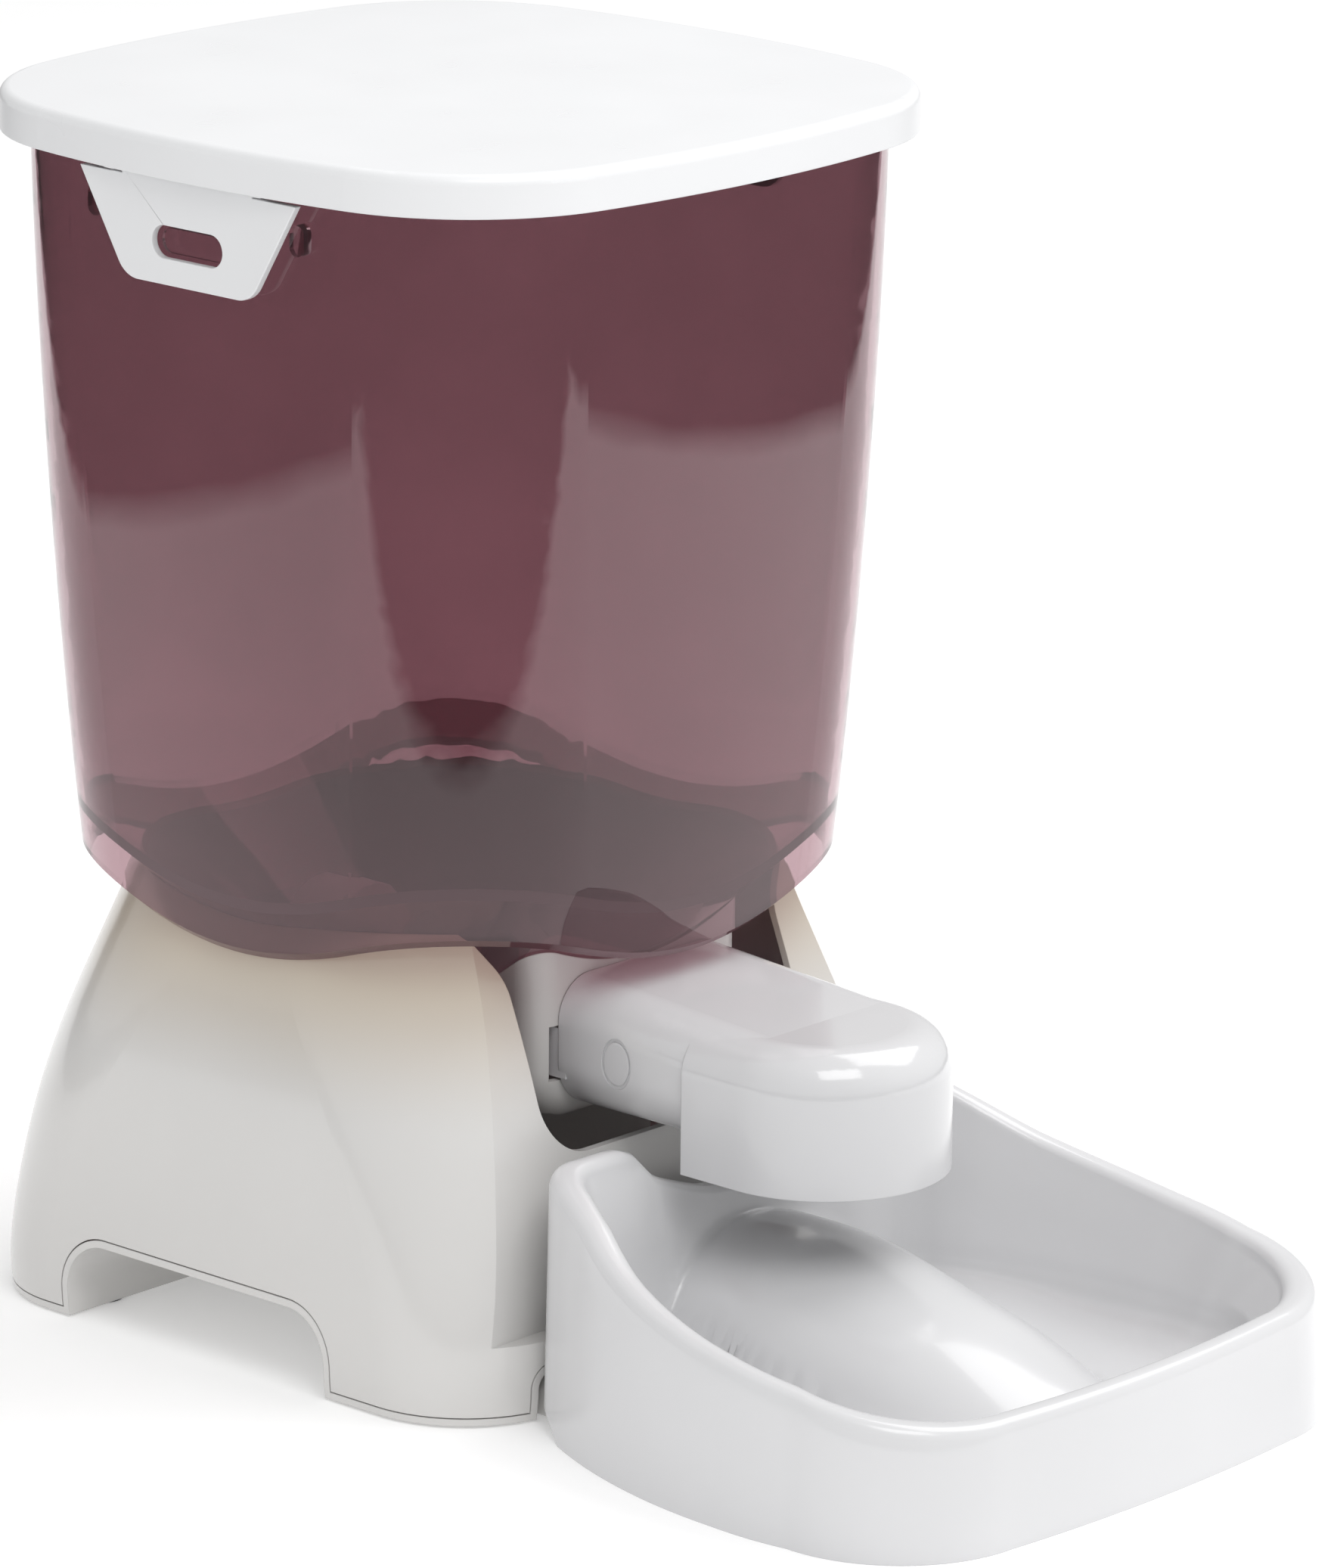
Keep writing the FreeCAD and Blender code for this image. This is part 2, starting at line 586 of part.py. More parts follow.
def feed_housing():
    below = above_cone(FUNNEL_LIFT - 2 * FIT)
    cup = rod_z(0, 0, CUP_OUT, CUP_FLOOR, 120).cut(rod_z(0, 0, CUP_IN, CUP_FLOOR + 2.5, 130)).cut(below)
    plate_x, plate_y = PLATE_HALF
    plate = box(-plate_x, plate_x, -plate_y, plate_y, CUP_FLOOR - 2.5, CUP_FLOOR + 0.2)
    front_box = collar(0.0).cut(collar(COLLAR_WALL)).cut(below)
    front_box = front_box.cut(box(-FAR, FAR, COLLAR_Y + 4, 0, 0, CUP_FLOOR - 2.5))
    barrel = rod_y(0, SCREW_Z, BARREL_OUT, COLLAR_Y + 1, -38)
    plates, hood_rod, walls = gear_case()
    body = join([cup, kibble_guide(), plate, front_box, barrel, plates, hood_rod, walls,
                 saddle(COLLAR_Y + 1, -38.0), saddle(38.0, COVER_Y0 - 0.2)])
    tools = [rod_y(0, SCREW_Z, BARREL_IN, COLLAR_Y - 1, 38.0)]
    tools.append(rod_y(0, SCREW_Z, SCREW_GEAR_ROOM, CASE_PLATE, 60.0))
    tools.append(box(-SCREW_GEAR_ROOM, SCREW_GEAR_ROOM, CASE_PLATE, 60, SCREW_Z - 22, SCREW_Z))
    tools.append(rod_y(0, SCREW_Z, BUSH_R, 30, 60))
    tools.append(rod_y(0, IDLER_Z, IDLER_PIN_R, CASE_FRONT + 1, 60))
    tools += [rod_z(x, y, SCREW_SHANK_R + 0.2, 60, 90) for x, y in POSTS]
    for side in (-1, 1):
        x = sorted((side * (TAB_X[0] - 0.5), side * 39.0))
        tools.append(box(x[0], x[1], COLLAR_Y - 2, COLLAR_Y + 6, TAB_Z[0] - 0.8, TAB_Z[1] + 0.8))
    tools += [rod_y(x, z, SCREW_SHANK_R - 0.1, 46, 60) for x, z in cover_screws()]
    tools.append(throat_ring_space())
    return bored(body, tools)


def throat_ring_space():
    """Room inside the cup for the hopper's throat ring."""
    outer = rod_z(0, 0, CUP_IN, THROAT_BOTTOM - FIT - 0.2, FAR)
    inner = rod_z(0, 0, THROAT_R - HOPPER_WALL - 0.8, 0, FAR)
    ring = outer.cut(inner)
    return ring.cut(rod_y(0, SCREW_Z, BARREL_OUT, -FAR, -20)).cut(rod_y(0, SCREW_Z, BARREL_BACK, 20, FAR))


def blade_section(turn):
    """Upright rectangle across the blade after the given number of turns along it."""
    angle = 2 * math.pi * turn
    z = turn * SCREW_PITCH
    inner, outer = SCREW_SHAFT_R - 1.0, SCREW_R + 0.5
    corners = ((inner, z), (outer, z), (outer, z + BLADE_T), (inner, z + BLADE_T))
    points = [V(r * math.cos(angle), r * math.sin(angle), height) for r, height in corners]
    return Part.makePolygon(points + points[:1])


def screw():
    """Feed screw: a shaft with one helical blade."""
    shaft = Part.makeCylinder(SCREW_SHAFT_R, SCREW_END - SCREW_START)
    turns = BLADE_LEN / SCREW_PITCH
    steps = int(turns * BLADE_STEPS)
    blade = Part.makeLoft([blade_section(turns * i / steps) for i in range(steps + 1)], True, True)
    blade = blade.common(Part.makeCylinder(SCREW_R, BLADE_LEN + BLADE_T))
    blade.translate(V(0, 0, BLADE_START - SCREW_START))
    solid = shaft.fuse(blade)
    solid.rotate(V(0, 0, 0), V(1, 0, 0), -90)
    solid.translate(V(0, SCREW_START, SCREW_Z))
    return solid


# ---------------------------------------------------------------- gears, motor

def involute(base_r, roll):
    x = math.cos(roll) + roll * math.sin(roll)
    y = math.sin(roll) - roll * math.cos(roll)
    return V(base_r * x, base_r * y, 0)


def gear(teeth, x, z, bore, tooth_angle):
    """Spur gear with involute flanks, its axis along Y; tooth_angle points one tooth, from +X."""
    pitch_r = GEAR_MODULE * teeth / 2
    pressure = math.radians(20)
    base_r = pitch_r * math.cos(pressure)
    tip_r = pitch_r + 0.95 * GEAR_MODULE
    root_r = pitch_r - 1.25 * GEAR_MODULE
    low_r = max(base_r, root_r + 0.05)
    half_tooth = math.pi / (2 * teeth) - GEAR_BACKLASH / 2 / pitch_r
    start = half_tooth + math.tan(pressure) - pressure
    roll_low = math.sqrt(max((low_r / base_r) ** 2 - 1, 0))
    roll_tip = math.sqrt((tip_r / base_r) ** 2 - 1)
    edges = []
    for index in range(teeth):
        middle = math.radians(tooth_angle) + 2 * math.pi * index / teeth
        flank = [involute(base_r, roll_low + (roll_tip - roll_low) * k / 4) for k in range(5)]
        sides = []
        for mirror in (-1, 1):
            points = []
            for p in flank:
                radius = math.hypot(p.x, p.y)
                angle = middle + mirror * (start - math.atan2(p.y, p.x))
                points.append(V(radius * math.cos(angle), radius * math.sin(angle), 0))
            sides.append(points)
        right, left = sides
        edges += flank_edges(right, root_r, True)
        tip = V(tip_r * math.cos(middle), tip_r * math.sin(middle), 0)
        edges.append(arc(right[-1], tip, left[-1]))
        edges += flank_edges(left, root_r, False)
        gap = middle + math.pi / teeth
        follow = middle + 2 * math.pi / teeth
        end = on_root(left[0], root_r)
        next_angle = follow - (math.atan2(end.y, end.x) - middle)
        next_start = V(root_r * math.cos(next_angle), root_r * math.sin(next_angle), 0)
        edges.append(arc(end, V(root_r * math.cos(gap), root_r * math.sin(gap), 0), next_start))
    blank = Part.Face(Part.Wire(edges)).extrude(V(0, 0, GEAR_W))
    blank = blank.cut(Part.makeCylinder(bore, GEAR_W))
    blank.rotate(V(0, 0, 0), V(1, 0, 0), 90)
    blank.translate(V(x, GEAR_Y0 + GEAR_W, z))
    return blank


def on_root(point, root_r):
    scale = root_r / math.hypot(point.x, point.y)
    return V(point.x * scale, point.y * scale, 0)


def flank_edges(points, root_r, rising):
    curve = Part.BSplineCurve()
    ordered = points if rising else points[::-1]
    curve.interpolate(ordered)
    foot = on_root(points[0], root_r)
    radial = line(foot, points[0]) if rising else line(points[0], foot)
    return [radial, curve.toShape()] if rising else [curve.toShape(), radial]


def screw_gear():
    hub = rod_y(0, SCREW_Z, 7.0, GEAR_Y0 - 0.8, GEAR_Y0 + 0.5).cut(rod_y(0, SCREW_Z, SCREW_SHAFT_R, 0, 90))
    return join([gear(SCREW_TEETH, 0, SCREW_Z, SCREW_SHAFT_R, -90.0), hub])


def idler_gear():
    half_a_tooth = 180.0 / IDLER_TEETH
    return gear(IDLER_TEETH, 0, IDLER_Z, IDLER_PIN_R + 0.06, 90.0 + half_a_tooth)


def motor_pinion():
    return gear(PINION_TEETH, 0, PINION_Z, MOTOR_SHAFT_R, 90.0)


def cover_screws():
    return ((-22.8, PINION_Z - 12.0), (22.8, PINION_Z - 12.0), (-22.8, 84.0), (22.8, 84.0))


def gearbox_cover():
    plate = box(-26.5, 26.5, COVER_Y0, COVER_Y0 + COVER_T, PINION_Z - 16, SCREW_Z + 19)
    plate = plate.cut(above_cone(FUNNEL_LIFT - 3.0))
    top = rod_y(0, SCREW_Z, BARREL_OUT - 1.0, COVER_Y0, COVER_Y0 + COVER_T)
    plate = join([plate, top])
    tools = [rod_y(0, SCREW_Z, SCREW_SHAFT_R + 0.06, 50, 60), rod_y(0, IDLER_Z, IDLER_PIN_R, 50, 60)]
    tools.append(rod_y(0, PINION_Z, 4.6, 50, 60))
    tools += [rod_y(x, z, SCREW_SHANK_R + 0.2, 50, 60) for x, z in cover_screws()]
    return bored(plate, tools)


def idler_pin():
    return rod_y(0, IDLER_Z, IDLER_PIN_R, CASE_FRONT + 1.2, COVER_Y0 + COVER_T)


def drive_motor():
    y0 = COVER_Y0 + COVER_T
    can = rod_y(0, PINION_Z, MOTOR_R, y0 + 0.1, y0 + MOTOR_LEN)
    boss = rod_y(0, PINION_Z, 3.6, COVER_Y0 + 0.6, y0 + 0.2)
    cap = rod_y(0, PINION_Z, 5.0, y0 + MOTOR_LEN - 0.1, y0 + MOTOR_LEN + 2.2)
    lugs = [box(x - 2, x + 2, y0 + MOTOR_LEN - 0.1, y0 + MOTOR_LEN + 4, PINION_Z - 0.4, PINION_Z + 0.4)
            for x in (-8.0, 8.0)]
    body = join([can, boss, cap] + lugs)
    return body.cut(rod_y(0, PINION_Z, MOTOR_SHAFT_R + 0.06, COVER_Y0, y0 + 24))


def motor_shaft():
    return rod_y(0, PINION_Z, MOTOR_SHAFT_R, GEAR_Y0 - 0.6, COVER_Y0 + COVER_T + 22)


def screw_bush():
    bush = rod_y(0, SCREW_Z, BUSH_R, 39.0, CASE_PLATE)
    return bush.cut(rod_y(0, SCREW_Z, SCREW_SHAFT_R + 0.06, 30, 60))


# ---------------------------------------------------------------- chute

def chute_tube(inset, y0, y1):
    wires = []
    for y, top in ((y0, CHUTE_TOP_BACK), (y1, CHUTE_TOP_FRONT)):
        wires.append(rounded_rectangle("xz", -CHUTE_HALF + inset, CHUTE_HALF - inset, CHUTE_BOTTOM + inset,
                                       top - inset, y, CHUTE_LOW_R - inset, CHUTE_HIGH_R - inset))
    return Part.makeLoft(wires, True, True)


def hood(inset, bottom):
    half = HOOD_HALF - inset
    back = HOOD_BACK - inset
    edges = [line(V(half, HOOD_CENTRE, bottom), V(half, back, bottom)),
             line(V(half, back, bottom), V(-half, back, bottom)),
             line(V(-half, back, bottom), V(-half, HOOD_CENTRE, bottom)),
             arc(V(-half, HOOD_CENTRE, bottom), V(0, HOOD_CENTRE - half, bottom),
                 V(half, HOOD_CENTRE, bottom))]
    top = CHUTE_TOP_FRONT - inset
    solid = extrude(Part.Wire(edges), V(0, 0, top - bottom))
    crown = [e for e in solid.Edges if e.BoundBox.ZMin > top - 0.01 and e.BoundBox.YMin < back - 1]
    return solid.makeFillet(HOOD_EDGE_R - inset, crown)


def chute():
    outer = join([chute_tube(0.0, COLLAR_Y - FIT, HOOD_CENTRE), hood(0.0, HOOD_BOTTOM)])
    inner_tube = chute_tube(CHUTE_WALL, COLLAR_Y + 2, HOOD_CENTRE)
    inner_hood = hood(CHUTE_WALL, HOOD_BOTTOM - 5)
    body = outer.cut(join([inner_tube, inner_hood]))
    marks = []
    for side in (-1, 1):
        tab_x = sorted(side * x for x in TAB_X)
        tab = box(tab_x[0], tab_x[1], COLLAR_Y - 3, COLLAR_Y + TAB_IN, *TAB_Z)
        body = body.fuse(tab)
        marks.append(thumb_mark(side))
    return bored(body.removeSplitter(), marks)


def thumb_mark(side):
    """Shallow oval groove that shows where to squeeze the chute to pull it off."""
    ring = rod_x(0, 0, MARK_R, -MARK_DEPTH, MARK_DEPTH).cut(rod_x(0, 0, MARK_R - MARK_WIDTH, -2, 2))
    stretch = FreeCAD.Matrix()
    stretch.scale(1.0, 1.0, 1.35)
    ring = ring.transformGeometry(stretch)
    ring.translate(V(side * CHUTE_HALF, *MARK_AT))
    return ring


# ---------------------------------------------------------------- bowl

def bowl_outline(inset, back, z):
    """Plan of the bowl: straight back with rounded corners, swelling sides and a rounded front."""
    def p(x, y):
        return V(x - inset, y, z)

    i = inset
    front = V(62 - 0.5 * i, -270.4 + i, z)
    front_left = V(-front.x, front.y, z)
    edges = [line(V(-70 + i, back, z), V(70 - i, back, z)),
             arc(p(70, back), p(78.6, back - 2.2), p(84, back - 9.0)),
             arc(p(84, back - 9.0), p(98.6, -152.0), p(105.8, -198.0)),
             arc(p(105.8, -198.0), p(106.0, -212.0), p(104.6, -225.0)),
             arc(p(104.6, -225.0), V(93.6 - 0.8 * i, -256.0 + 0.6 * i, z), front),
             arc(front, V(0, -273.5 + i, z), front_left)]
    mirrored = [e.mirror(V(0, 0, 0), V(1, 0, 0)) for e in edges[1:5]]
    return Part.Wire(Part.__sortEdges__(edges + mirrored))


def bowl_loft(low, high):
    """Solid between two outlines, each given as inset, back and height."""
    return Part.makeLoft([bowl_outline(*low), bowl_outline(*high)], True, True)


def ridge(inset):
    """The rounded hump that runs forward from the back of the dish and sinks into its floor."""
    sections = []
    for y, top in RIDGE_TOPS:
        oval = Part.Ellipse(V(0, y, top - RIDGE_TALL), RIDGE_HALF - inset, RIDGE_TALL - inset)
        oval.Axis = V(0, 1, 0)
        oval.XAxis = V(1, 0, 0)
        sections.append(Part.Wire(oval.toShape()))
    return Part.makeLoft(sections, True, False)


def bowl():
    outer = bowl_loft((0.0, BOWL_BACK_LOW, 0.0), (BOWL_TAPER, BOWL_BACK_HIGH, BOWL_TALL))
    side_cut = spline_region(BOWL_SIDE, "yz", ((-285.0, 200.0), (-90.0, 200.0)), -150.0, V(300, 0, 0))
    back_points = [(-x, z) for x, z in BOWL_BACK[::-1]] + list(BOWL_BACK[1:])
    back_cut = spline_region(back_points, "xz", ((100.0, 200.0), (-100.0, 200.0)), -127.0, V(0, 50, 0))
    body = outer.cut(side_cut).cut(back_cut)
    wall = BOWL_TAPER + BOWL_RIM
    dish = bowl_loft((wall + 8, BOWL_BACK_LOW - DISH_BACK, BOWL_FLOOR),
                     (wall, BOWL_BACK_HIGH - BOWL_RIM, BOWL_TALL))
    body = body.cut(dish.cut(ridge(0.0)))
    hollow = bowl_loft((3.0, BOWL_BACK_LOW - 3, -1.0), (4.6, BOWL_BACK_LOW - 1, BOWL_HOLLOW))
    under_dish = bowl_loft((wall + 5, BOWL_BACK_LOW - DISH_BACK + 3, BOWL_FLOOR - BOWL_SKIN),
                           (wall - 3, BOWL_BACK_HIGH - 5, BOWL_TALL))
    under_ridge = ridge(BOWL_SKIN).common(box(-FAR, FAR, -FAR, BOWL_BACK_LOW - 4, -1, FAR))
    body = body.cut(hollow.cut(under_dish)).cut(under_ridge)
    room = box(-NOTCH_HALF, NOTCH_HALF, DOCK_FRONT - 1.0, -90, -1, NOTCH_TOP - 1.4)
    foot_cut = Part.Face(Part.makePolygon([V(-150, y, z) for y, z in (
        (-90, -1), (-124, -1), (-100, 16.0), (-90, 16.0), (-90, -1))])).extrude(V(300, 0, 0))
    return body.cut(room).cut(foot_cut)


# ---------------------------------------------------------------- power and controls

def battery_box():
    x, t = BOX_X, 1.8
    y0, y1 = BOX_Y
    outer = box(-x - t, x + t, y0 - t, y1 + t, BOX_Z0, BOX_Z0 + 2 * CELL_R + 3.4)
    return outer.cut(box(-x, x, y0, y1, BOX_Z0 - 1, BOX_Z0 + 2 * CELL_R + 1.6))


def batteries():
    cells = []
    z = BOX_Z0 + CELL_R + 0.6
    for y in CELL_Y:
        for x in (-CELL_LEN - 0.6, 0.6):
            body = rod_x(y, z, CELL_R, x, x + CELL_LEN - 1.8)
            cap = rod_x(y, z, 3.2, x + CELL_LEN - 1.9, x + CELL_LEN)
            cells.append(join([body, cap]))
    return Part.makeCompound(cells)


def battery_contacts():
    plates = []
    z = BOX_Z0 + CELL_R + 0.6
    for y in CELL_Y:
        for x in (-BOX_X, BOX_X - 0.5):
            plates.append(box(x, x + 0.5, y - 7, y + 7, z - 7, z + 7))
    return Part.makeCompound(plates)


def battery_door():
    plate = box(-55.0, 55.0, BOX_Y[0] - 3.6, BOX_Y[1] + 3.6, 22.7, 24.6)
    grip = [box(44.0 + 2.4 * k, 45.2 + 2.4 * k, -24.0, -2.0, 21.8, 22.9) for k in range(4)]
    return join([plate] + grip)


def circuit_board():
    board = box(-40, 40, 86.6, 88.2, 50, 92)
    places = ((-30, 10, 60, 10), (5, 14, 62, 6), (-8, 6, 78, 6))
    chips = [box(x, x + wide, 84.8, 86.7, z, z + tall) for x, wide, z, tall in places]
    tools = [rod_y(x, z, 1.7, 80, 95) for x, z in BEZEL_LEGS]
    return bored(join([board] + chips), tools)


def display():
    return box(-17.5, 17.5, 88.3, 92.6, 67.0, 87.0)


def display_window():
    wire = rounded_rectangle("xz", -16.7, 16.7, 68.3, 85.7, PANEL_Y - 2.2, 1.5, 1.5)
    return extrude(wire, V(0, 1.9, 0))


def control_bezel():
    z0, z1 = PANEL_Z
    front = extrude(rounded_rectangle("xz", -PANEL_HALF + 0.3, PANEL_HALF - 0.3, z0 + 0.3, z1 - 0.3,
                                      PANEL_Y - 4.0, 4.7, 4.7), V(0, 4.0, 0))
    flange = box(-PANEL_HALF - 2.5, PANEL_HALF + 2.5, PANEL_Y - 4.6, PANEL_Y - 3.2, z0 - 2.5, z1 + 2.5)
    legs = [rod_y(x, z, 2.6, 88.2, PANEL_Y - 4.0) for x, z in BEZEL_LEGS]
    body = join([front, flange] + legs)
    tools = [extrude(rounded_rectangle("xz", -17.0, 17.0, 68.0, 86.0, 80.0, 1.8, 1.8), V(0, 30, 0))]
    tools += [rod_y(x, z, BUTTON_R + 0.25, 80, 110) for x in BUTTON_X for z in BUTTON_Z]
    return bored(body, tools)


def button(x, z):
    stem = rod_y(x, z, BUTTON_R, 91.4, PANEL_Y + 1.2)
    crown = [e for e in stem.Edges if e.BoundBox.YMin > PANEL_Y + 1.1]
    stem = stem.makeFillet(0.8, crown)
    return join([stem, rod_y(x, z, BUTTON_R + 1.3, 91.2, 92.5)])


def screws_up(places, z_head, length):
    """Round-head screws driven upwards: head below, shank above."""
    made = []
    for x, y in places:
        head = rod_z(x, y, SCREW_HEAD_R, z_head - 1.0, z_head)
        made.append(join([head, rod_z(x, y, SCREW_SHANK_R - 0.1, z_head - 0.2, z_head + length)]))
    return Part.makeCompound(made)


def housing_screws():
    made = []
    top = CUP_FLOOR + 0.25
    for x, y in POSTS:
        head = rod_z(x, y, SCREW_HEAD_R, top, top + 2.0)
        made.append(join([head, rod_z(x, y, SCREW_SHANK_R - 0.1, top - 15, top + 0.1)]))
    return Part.makeCompound(made)


def gearbox_screws():
    made = []
    y = COVER_Y0 + COVER_T
    for x, z in cover_screws():
        head = rod_y(x, z, SCREW_HEAD_R, y, y + 2.0)
        made.append(join([head, rod_y(x, z, SCREW_SHANK_R - 0.1, y - 8.2, y + 0.1)]))
    return Part.makeCompound(made)


# ---------------------------------------------------------------- all the nodes

def main():
    os.makedirs("parts", exist_ok=True)
    write("lid", lid_solid())
    write("lid_seal", lid_seal())
    write("latch_left", latch(-1))
    write("latch_right", latch(1))
    write("latch_pins", latch_pins())
    write("hopper", hopper())
    write("base_shell", base_shell())
    write("base_tray", base_tray())
    write("rubber_feet", rubber_feet())
    write("feed_housing", feed_housing())
    write("feed_screw", screw())
    write("screw_bush", screw_bush())
    write("screw_gear", screw_gear())
    write("idler_gear", idler_gear())
    write("idler_pin", idler_pin())
    write("motor_pinion", motor_pinion())
    write("motor_shaft", motor_shaft())
    write("drive_motor", drive_motor())
    write("gearbox_cover", gearbox_cover())
    write("gearbox_screws", gearbox_screws())
    write("housing_screws", housing_screws())
    write("tray_screws", screws_up(CORNERS, 1.9, 20.0))
    write("chute", chute())
    write("bowl", bowl())
    write("battery_box", battery_box())
    write("batteries", batteries())
    write("battery_contacts", battery_contacts())
    write("battery_door", battery_door())
    write("circuit_board", circuit_board())
    write("display", display())
    write("display_window", display_window())
    write("control_bezel", control_bezel())
    names = ("feed_button", "set_button", "up_button", "down_button")
    places = [(x, z) for x in BUTTON_X for z in BUTTON_Z]
    for name, (x, z) in zip(names, places):
        write(name, button(x, z))


main()
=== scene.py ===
"""Looks for the automatic pet feeder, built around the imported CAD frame. Lengths are in metres."""
import json
import math

import bmesh
import bpy
from mathutils import Matrix, Vector


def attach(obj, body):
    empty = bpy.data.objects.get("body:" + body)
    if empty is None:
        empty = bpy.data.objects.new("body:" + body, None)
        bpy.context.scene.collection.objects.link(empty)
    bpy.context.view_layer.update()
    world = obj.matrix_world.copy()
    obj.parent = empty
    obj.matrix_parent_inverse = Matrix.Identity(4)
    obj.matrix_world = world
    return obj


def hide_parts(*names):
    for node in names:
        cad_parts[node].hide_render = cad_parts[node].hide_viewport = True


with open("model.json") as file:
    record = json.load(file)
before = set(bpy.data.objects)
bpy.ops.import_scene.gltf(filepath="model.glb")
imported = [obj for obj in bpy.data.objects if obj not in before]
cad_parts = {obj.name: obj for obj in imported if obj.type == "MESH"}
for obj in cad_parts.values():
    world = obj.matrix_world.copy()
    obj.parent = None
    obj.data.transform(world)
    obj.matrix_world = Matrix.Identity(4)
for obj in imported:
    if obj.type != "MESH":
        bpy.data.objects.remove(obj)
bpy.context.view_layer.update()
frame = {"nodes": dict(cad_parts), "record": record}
NODES = frame["nodes"]
SLOT_OF = {part["node"]: part["material_slot"] for part in frame["record"]["subparts"]}

# the camera: where it stands, and how it is turned
CAMERA_AT = (-1.86038, -1.68714, 0.86718)
CAMERA_AZIMUTH = -47.87
CAMERA_PITCH = 15.51
CAMERA_ROLL = 0.55
SENSOR = 36.0
LENS = 206.37
CLIP_END = 60.0

# the studio
SHEET_HALF_WIDTH = 0.95      # the bright sheet under the feeder, as glossy rays see it, across the line of sight
SHEET_FRONT = 0.48           # and towards the camera
SHEET_BLEND = 0.03           # how softly it ends
FLOOR_HALF = 12.0
FLOOR_WHITE = 0.92
FLOOR_ROUGHNESS = 0.85
FLOOR_GLOW = 0.22
# colour painted into the floor for glossy rays beyond the sheet: a painted dark reflection
ROOM_REFLECTION_PAINT = (0.05, 0.045, 0.045)
WORLD_STRENGTH = 0.64

# moulded surfaces
CLOUD_SCALE = 9.0
WIPE_SCALE = 38.0
GRAIN_SCALE = 700.0
GRAIN_STRENGTH = 0.35
MOTTLE = 0.03                # how much the colour clouds over
GLOSS_SWING = 0.1            # how much the roughness varies
EDGE_SOFTNESS = 0.0004
COAT_ROUGHNESS = 0.06

# tinted plastic
FLOW_SCALE = 16.0
PLASTIC_IOR = 1.52
PAINTED_GLOW_TOP = 0.20              # above this height the painted glow is at its weakest
PAINTED_GLOW_LOW = 0.125             # below this one it is at its strongest
PAINTED_GLOW_GAIN = 2.6


# ---------------------------------------------------------------- materials

def node(tree, kind, **inputs):
    made = tree.nodes.new("ShaderNode" + kind)
    for name, value in inputs.items():
        made.inputs[name.replace("_", " ")].default_value = value
    return made


def new_material(name):
    material = bpy.data.materials.new(name)
    material.use_nodes = True
    return material, material.node_tree, material.node_tree.nodes["Principled BSDF"]


def ranged(tree, source, low, high):
    """The source's 0.3 to 0.7 spread over low to high."""
    spread = node(tree, "MapRange", From_Min=0.3, From_Max=0.7, To_Min=low, To_Max=high)
    tree.links.new(source, spread.inputs["Value"])
    return spread.outputs["Result"]


def shaded_towards_top(tree, colour, tint, low, high):
    """Painted shade: the colour, multiplied by the tint from the low height up to the high one, so darker
    towards the top.
    """
    place = tree.nodes.new("ShaderNodeNewGeometry").outputs["Position"]
    parts = tree.nodes.new("ShaderNodeSeparateXYZ")
    tree.links.new(place, parts.inputs["Vector"])
    rise = node(tree, "MapRange", From_Min=low, From_Max=high)
    rise.interpolation_type = "SMOOTHSTEP"
    tree.links.new(parts.outputs["Z"], rise.inputs["Value"])
    mix = tree.nodes.new("ShaderNodeMix")
    mix.data_type = "RGBA"
    mix.blend_type = "MULTIPLY"
    mix.inputs["B"].default_value = list(tint) + [1.0]
    tree.links.new(rise.outputs["Result"], mix.inputs["Factor"])
    tree.links.new(colour, mix.inputs["A"])
    return mix.outputs["Result"]


def moulded(name, colour, roughness, depth=0.00002, coat=0.0, metallic=0.0, top_shade=None):
    """Moulded plastic or metal: faint colour clouding, uneven gloss, fine grain and softened edges; the
    optional height tint is painted shade, darker towards the top.
    """
    material, tree, shader = new_material(name)
    link = tree.links.new
    place = tree.nodes.new("ShaderNodeTexCoord").outputs["Object"]
    clouds = node(tree, "TexNoise", Scale=CLOUD_SCALE, Detail=3.0)
    fine = node(tree, "TexNoise", Scale=GRAIN_SCALE, Detail=2.0)
    wipes = node(tree, "TexNoise", Scale=WIPE_SCALE, Detail=2.0)
    for texture in (clouds, fine, wipes):
        link(place, texture.inputs["Vector"])
    shade = tree.nodes.new("ShaderNodeMix")
    shade.data_type = "RGBA"
    shade.inputs["A"].default_value = [c * (1.0 - MOTTLE) for c in colour] + [1.0]
    shade.inputs["B"].default_value = [min(c * (1.0 + MOTTLE * 0.5), 1.0) for c in colour] + [1.0]
    link(ranged(tree, clouds.outputs["Fac"], 0.0, 1.0), shade.inputs["Factor"])
    tone = shade.outputs["Result"]
    # painted shade: an optional darker, beige tint over the upper part
    if top_shade:
        tone = shaded_towards_top(tree, tone, *top_shade)
    link(tone, shader.inputs["Base Color"])
    low, high = roughness * (1.0 - GLOSS_SWING), roughness * (1.0 + GLOSS_SWING)
    link(ranged(tree, wipes.outputs["Fac"], low, high), shader.inputs["Roughness"])
    bevel = node(tree, "Bevel", Radius=EDGE_SOFTNESS)
    bevel.samples = 4
    bump = node(tree, "Bump", Strength=GRAIN_STRENGTH, Distance=depth)
    link(fine.outputs["Fac"], bump.inputs["Height"])
    link(bevel.outputs["Normal"], bump.inputs["Normal"])
    link(bump.outputs["Normal"], shader.inputs["Normal"])
    shader.inputs["Metallic"].default_value = metallic
    shader.inputs["Coat Weight"].default_value = coat
    shader.inputs["Coat Roughness"].default_value = COAT_ROUGHNESS
    return material


